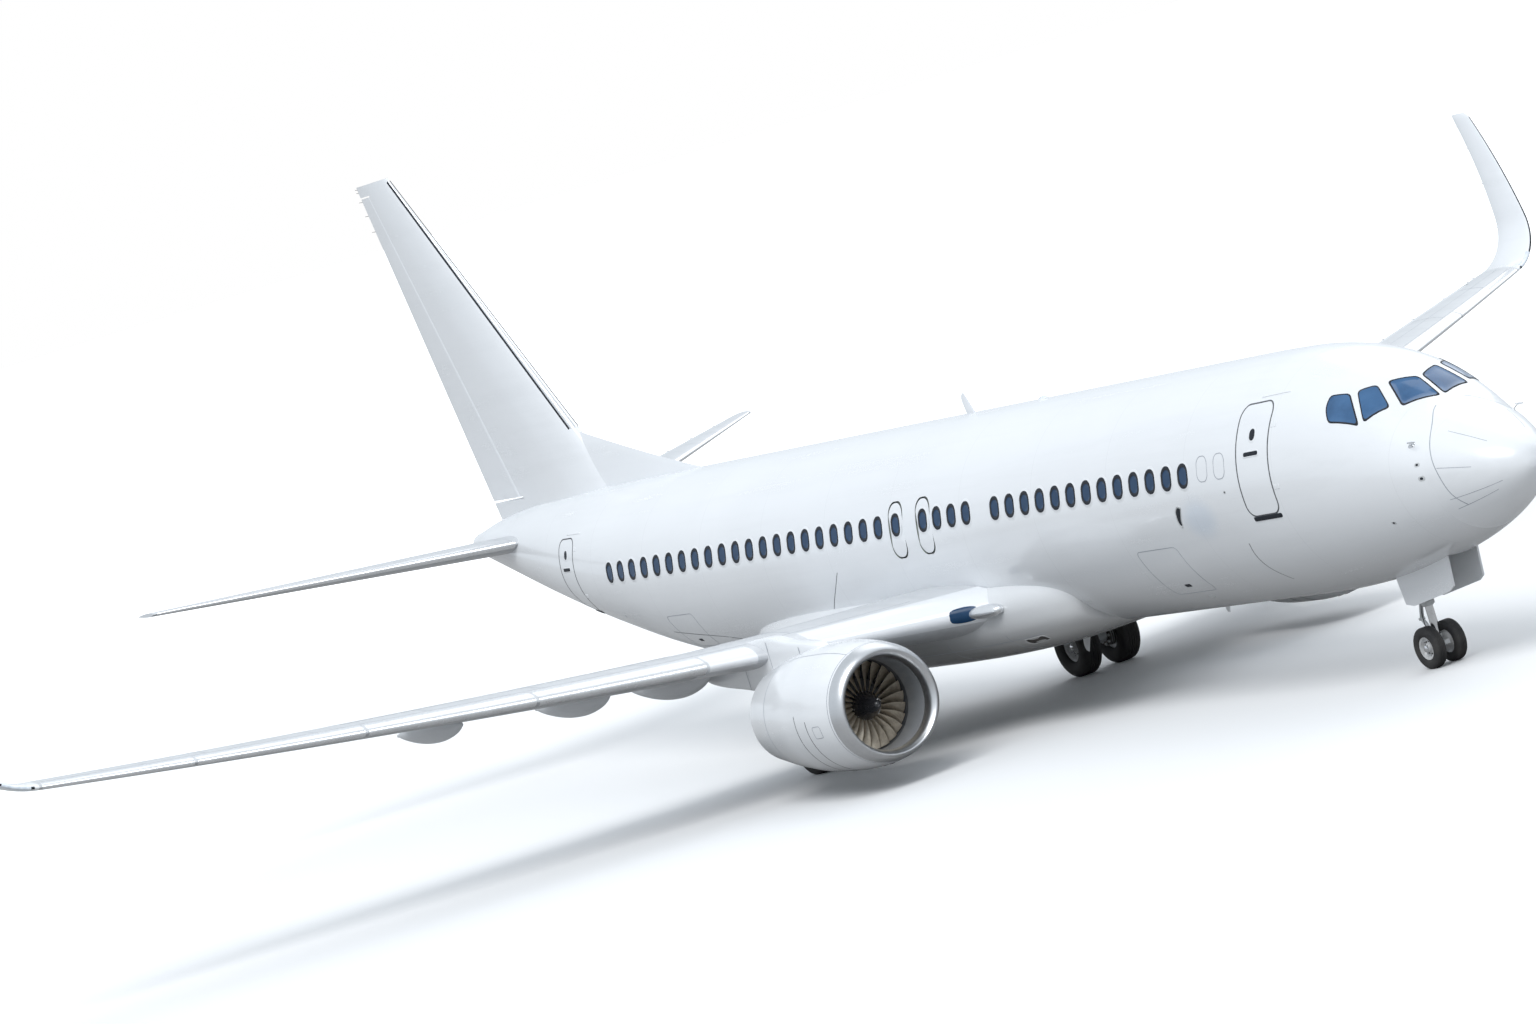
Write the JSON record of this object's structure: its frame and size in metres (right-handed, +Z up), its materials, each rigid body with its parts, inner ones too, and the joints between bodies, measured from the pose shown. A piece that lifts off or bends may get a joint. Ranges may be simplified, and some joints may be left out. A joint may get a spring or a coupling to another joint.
{
  "type": "narrow-body jet airliner",
  "caption": "Narrow-body jet airliner parked on its landing gear, with underwing engines, blended winglets, turning wheels and fans, moving control surfaces and hinged overwing exits.",
  "frame": {"origin": "on the ground below the middle of the length, on the centreline", "axes": "+Z up; the nose points to -Y; +X to the port wing"},
  "size_m": [35.816, 39.458, 12.55],
  "materials": {
    "white_paint": "gloss",
    "grey_paint": "gloss",
    "wing_grey": "satin",
    "polished_metal": "polished",
    "bare_metal": "satin",
    "titanium": "satin",
    "gear_paint": "gloss",
    "wheel_paint": "gloss",
    "tyre": "matte"
  },
  "bodies": {
    "airframe": {"fuselage": "white_paint", "radome": "white_paint", "tail_cone": "bare_metal", "belly_fairing": "grey_paint", "fin": "white_paint", "nose_gear_leg": "gear_paint", "wing_left": "wing_grey", "winglet_left": "white_paint", "flaps_left": "wing_grey", "stabiliser_left": "wing_grey", "inlet_lip_left": "polished_metal", "nacelle_left": "white_paint", "engine_core_left": "titanium", "pylon_left": "white_paint", "main_gear_leg_left": "gear_paint", "main_gear_door_left": "grey_paint", "nose_gear_door_left": "white_paint", "wing_right": "wing_grey", "winglet_right": "white_paint", "flaps_right": "wing_grey", "stabiliser_right": "wing_grey", "inlet_lip_right": "polished_metal", "nacelle_right": "white_paint", "engine_core_right": "titanium", "pylon_right": "white_paint", "main_gear_leg_right": "gear_paint", "main_gear_door_right": "grey_paint", "nose_gear_door_right": "white_paint"},
    "rudder": {"rudder": "white_paint"},
    "nose_steering": {"nose_gear_fork": "gear_paint"},
    "nose_wheels": {"nose_wheels": "wheel_paint", "nose_tyre_left": "tyre", "nose_tyre_right": "tyre"},
    "fan_left": {"fan_left": "titanium"},
    "main_wheels_left": {"main_wheels_left": "wheel_paint", "main_tyre_outer_left": "tyre", "main_tyre_inner_left": "tyre"},
    "elevator_left": {"elevator_left": "wing_grey"},
    "aileron_left": {"aileron_left": "wing_grey"},
    "exit_forward_left": {"exit_forward_left": "white_paint"},
    "exit_aft_left": {"exit_aft_left": "white_paint"},
    "fan_right": {"fan_right": "titanium"},
    "main_wheels_right": {"main_wheels_right": "wheel_paint", "main_tyre_outer_right": "tyre", "main_tyre_inner_right": "tyre"},
    "elevator_right": {"elevator_right": "wing_grey"},
    "aileron_right": {"aileron_right": "wing_grey"},
    "exit_forward_right": {"exit_forward_right": "white_paint"},
    "exit_aft_right": {"exit_aft_right": "white_paint"}
  },
  "joints": [
    {"name": "nose_steer", "type": "hinge", "parent": "airframe", "child": "nose_steering", "pos_m": [0, -15.695, 1.2], "axis": [0, 0, 1], "range_deg": [-78, 78]},
    {"name": "nose_wheels_spin", "type": "hinge", "parent": "nose_steering", "child": "nose_wheels", "pos_m": [0, -15.695, 0.343], "axis": [1, 0, 0], "continuous": true},
    {"name": "main_wheels_left_spin", "type": "hinge", "parent": "airframe", "child": "main_wheels_left", "pos_m": [2.86, -0.095, 0.565], "axis": [1, 0, 0], "continuous": true},
    {"name": "main_wheels_right_spin", "type": "hinge", "parent": "airframe", "child": "main_wheels_right", "pos_m": [-2.86, -0.095, 0.565], "axis": [1, 0, 0], "continuous": true},
    {"name": "fan_left_spin", "type": "hinge", "parent": "airframe", "child": "fan_left", "pos_m": [4.83, -5.305, 1.45], "axis": [0, 1, 0], "continuous": true},
    {"name": "fan_right_spin", "type": "hinge", "parent": "airframe", "child": "fan_right", "pos_m": [-4.83, -5.305, 1.45], "axis": [0, 1, 0], "continuous": true},
    {"name": "rudder_swing", "type": "hinge", "parent": "airframe", "child": "rudder", "pos_m": [0, 15.46481, 5.57], "axis": [0, 0.3983, 0.9173], "range_deg": [-26, 26]},
    {"name": "elevator_right_swing", "type": "hinge", "parent": "airframe", "child": "elevator_right", "pos_m": [-1.15, 17.02969, 4.7807], "axis": [0.9204, -0.3743, -0.113], "range_deg": [-20, 20]},
    {"name": "elevator_left_swing", "type": "hinge", "parent": "airframe", "child": "elevator_left", "pos_m": [1.15, 17.02969, 4.7807], "axis": [0.9204, 0.3743, 0.113], "range_deg": [-20, 20]},
    {"name": "aileron_right_swing", "type": "hinge", "parent": "airframe", "child": "aileron_right", "pos_m": [-12.54058, 2.98732, 3.62803], "axis": [0.9359, -0.3215, -0.1439], "range_deg": [-20, 20]},
    {"name": "aileron_left_swing", "type": "hinge", "parent": "airframe", "child": "aileron_left", "pos_m": [12.54058, 2.98732, 3.62803], "axis": [0.9359, 0.3215, 0.1439], "range_deg": [-20, 20]},
    {"name": "exit_forward_left_hinge", "type": "hinge", "parent": "airframe", "child": "exit_forward_left", "pos_m": [1.6948, -3.745, 4.336], "axis": [0, -1, 0], "range_deg": [0, 105]},
    {"name": "exit_aft_left_hinge", "type": "hinge", "parent": "airframe", "child": "exit_aft_left", "pos_m": [1.6948, -2.735, 4.336], "axis": [0, -1, 0], "range_deg": [0, 105]},
    {"name": "exit_forward_right_hinge", "type": "hinge", "parent": "airframe", "child": "exit_forward_right", "pos_m": [-1.6948, -3.745, 4.336], "axis": [0, 1, 0], "range_deg": [0, 105]},
    {"name": "exit_aft_right_hinge", "type": "hinge", "parent": "airframe", "child": "exit_aft_right", "pos_m": [-1.6948, -2.735, 4.336], "axis": [0, 1, 0], "range_deg": [0, 105]}
  ],
  "couplings": [
    {"joint": "elevator_left_swing", "follows": "elevator_right_swing", "ratio": 1},
    {"joint": "aileron_left_swing", "follows": "aileron_right_swing", "ratio": -1}
  ]
}
